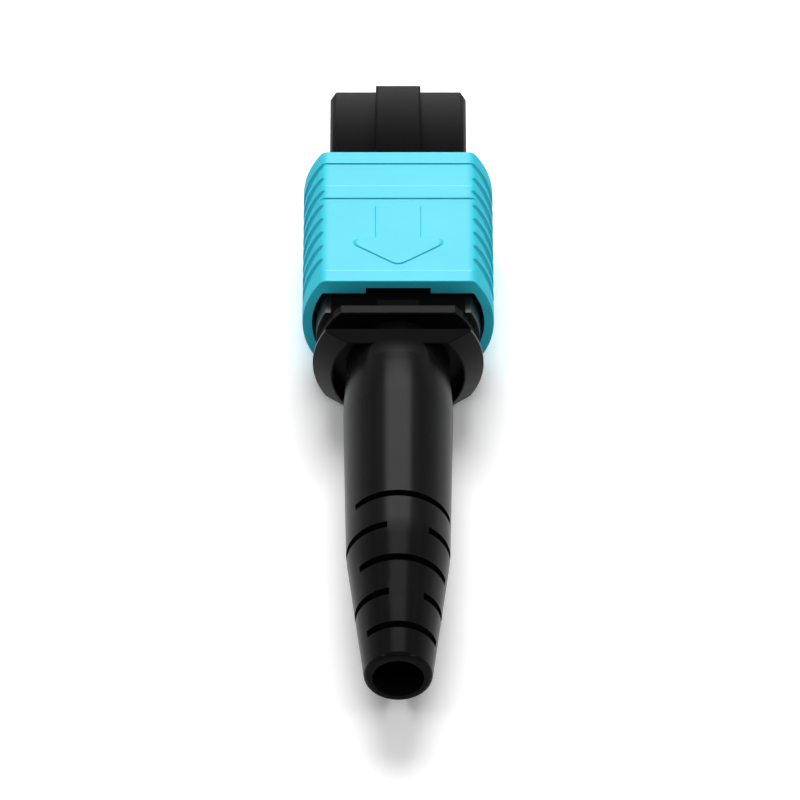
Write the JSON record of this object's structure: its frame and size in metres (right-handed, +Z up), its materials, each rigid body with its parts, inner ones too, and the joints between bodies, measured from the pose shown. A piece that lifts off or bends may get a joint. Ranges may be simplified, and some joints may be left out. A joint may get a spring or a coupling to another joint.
{
  "type": "mpo fibre connector",
  "caption": "Push-pull multi-fibre plug: keyed black nose, ribbed sliding aqua sleeve, sprung rectangular ferrule, slit strain-relief boot.",
  "frame": {"origin": "centre of the ferrule's mating face, on the optical axis", "axes": "+Y out of the mating face, +Z up through the key, +X to the right seen from the cable end"},
  "size_m": [0.0124, 0.0515, 0.0076],
  "materials": {
    "aqua_plastic": "satin moulded",
    "black_plastic": "satin moulded",
    "boot_elastomer": "satin moulded",
    "ferrule_resin": "ground",
    "ribbon_elastomer": "matte",
    "spring_steel": "drawn",
    "keeper_steel": "stamped",
    "crimp_metal": "nickel plated"
  },
  "bodies": {
    "plug": {"inner_housing": "black_plastic", "spring_push": "black_plastic", "crimp_ring": "crimp_metal", "strain_relief_boot": "boot_elastomer", "ferrule_spring": "spring_steel", "sleeve_spring_left": "spring_steel", "sleeve_spring_right": "spring_steel"},
    "sleeve": {"coupling_sleeve": "aqua_plastic"},
    "ferrule_group": {"ferrule": "ferrule_resin", "ferrule_boot": "ribbon_elastomer", "pin_keeper": "keeper_steel"}
  },
  "joints": [
    {"name": "sleeve_slide", "type": "slide", "parent": "plug", "child": "sleeve", "axis": [0, -1, 0], "range_m": [0, 0.00145], "stiffness_N_per_m": 600, "deforming": ["sleeve_spring_left", "sleeve_spring_right"]},
    {"name": "ferrule_float", "type": "slide", "parent": "plug", "child": "ferrule_group", "axis": [0, -1, 0], "range_m": [0, 0.0008], "stiffness_N_per_m": 2500, "deforming": ["ferrule_spring"]}
  ]
}
